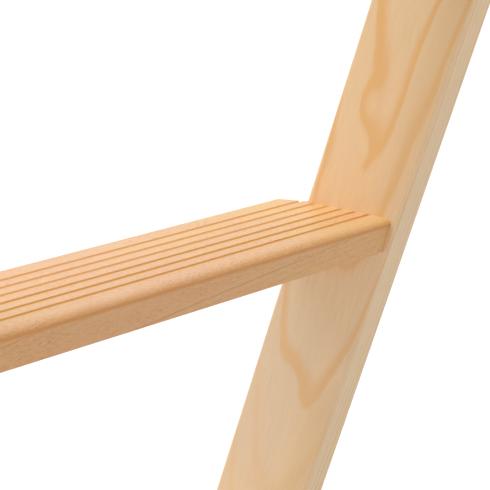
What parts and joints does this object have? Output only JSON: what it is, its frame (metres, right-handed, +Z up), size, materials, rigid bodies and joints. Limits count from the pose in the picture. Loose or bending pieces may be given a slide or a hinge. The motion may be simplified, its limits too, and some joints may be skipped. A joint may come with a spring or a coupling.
{
  "type": "wooden stepladder",
  "caption": "Folding double-sided wooden stepladder: two hinged halves of pine stiles and grooved beech treads, held open by folding steel stays.",
  "frame": {"origin": "on the floor, under the middle of the hinge axis, with the ladder standing open", "axes": "+X along the treads to the right, +Y from the front half to the rear half, +Z up"},
  "size_m": [0.4678, 1.0792, 1.363],
  "materials": {
    "pine": "planed, clear, satin",
    "beech": "planed, clear, satin",
    "steel": "zinc plated",
    "rubber": "moulded, matt"
  },
  "bodies": {
    "rear": {"rear_foot_left": "rubber", "rear_foot_right": "rubber", "rear_hinge_leaf_left": "steel", "rear_hinge_leaf_right": "steel", "rear_hinge_pin_right": "steel", "rear_leaf_bolts": "steel", "rear_leaf_nuts": "steel", "rear_stay_bolts": "steel", "rear_stay_nuts": "steel", "rear_stay_spacers": "steel", "rear_stile_left": "pine", "rear_stile_right": "pine", "rear_tie_rod_1": "steel", "rear_tie_rod_3": "steel", "rear_tie_rod_5": "steel", "rear_tie_rod_nuts": "steel", "rear_tie_rod_washers": "steel", "rear_tread_1": "beech", "rear_tread_2": "beech", "rear_tread_3": "beech", "rear_tread_4": "beech", "rear_tread_5": "beech", "rear_tread_screws_left": "steel", "rear_tread_screws_right": "steel"},
    "front": {"front_foot_left": "rubber", "front_foot_right": "rubber", "front_hinge_leaf_left": "steel", "front_hinge_leaf_right": "steel", "front_hinge_pin_left": "steel", "front_leaf_bolts": "steel", "front_leaf_nuts": "steel", "front_stay_bolts": "steel", "front_stay_nuts": "steel", "front_stay_spacers": "steel", "front_stile_left": "pine", "front_stile_right": "pine", "front_tie_rod_1": "steel", "front_tie_rod_3": "steel", "front_tie_rod_5": "steel", "front_tie_rod_nuts": "steel", "front_tie_rod_washers": "steel", "front_tread_1": "beech", "front_tread_2": "beech", "front_tread_3": "beech", "front_tread_4": "beech", "front_tread_5": "beech", "front_tread_screws_left": "steel", "front_tread_screws_right": "steel"},
    "front_stay_left_body": {"front_stay_left": "steel", "front_stay_rivet_left": "steel"},
    "front_stay_right_body": {"front_stay_right": "steel", "front_stay_rivet_right": "steel"},
    "rear_stay_left_body": {"rear_stay_left": "steel", "rear_stay_rivet_left": "steel"},
    "rear_stay_right_body": {"rear_stay_right": "steel", "rear_stay_rivet_right": "steel"}
  },
  "joints": [
    {"name": "fold", "type": "hinge", "parent": "rear", "child": "front", "pos_m": [0, 0, 1.35], "axis": [1, 0, 0], "range_deg": [0, 38]},
    {"name": "rear_stay_left_swing", "type": "hinge", "parent": "rear", "child": "rear_stay_left_body", "pos_m": [0, 0.20653, 0.86], "axis": [-1, 0, 0], "range_deg": [0, 61.04]},
    {"name": "rear_stay_right_swing", "type": "hinge", "parent": "rear", "child": "rear_stay_right_body", "pos_m": [0, 0.20653, 0.86], "axis": [-1, 0, 0], "range_deg": [0, 61.04]},
    {"name": "front_stay_left_swing", "type": "hinge", "parent": "front", "child": "front_stay_left_body", "pos_m": [0, -0.20653, 0.86], "axis": [1, 0, 0], "range_deg": [0, 61.04]},
    {"name": "front_stay_right_swing", "type": "hinge", "parent": "front", "child": "front_stay_right_body", "pos_m": [0, -0.20653, 0.86], "axis": [1, 0, 0], "range_deg": [0, 61.04]}
  ],
  "couplings": [
    {"joint": "rear_stay_left_swing", "follows": "fold", "ratio": 1.6061},
    {"joint": "rear_stay_right_swing", "follows": "fold", "ratio": 1.6061},
    {"joint": "front_stay_left_swing", "follows": "fold", "ratio": 1.6061},
    {"joint": "front_stay_right_swing", "follows": "fold", "ratio": 1.6061}
  ]
}
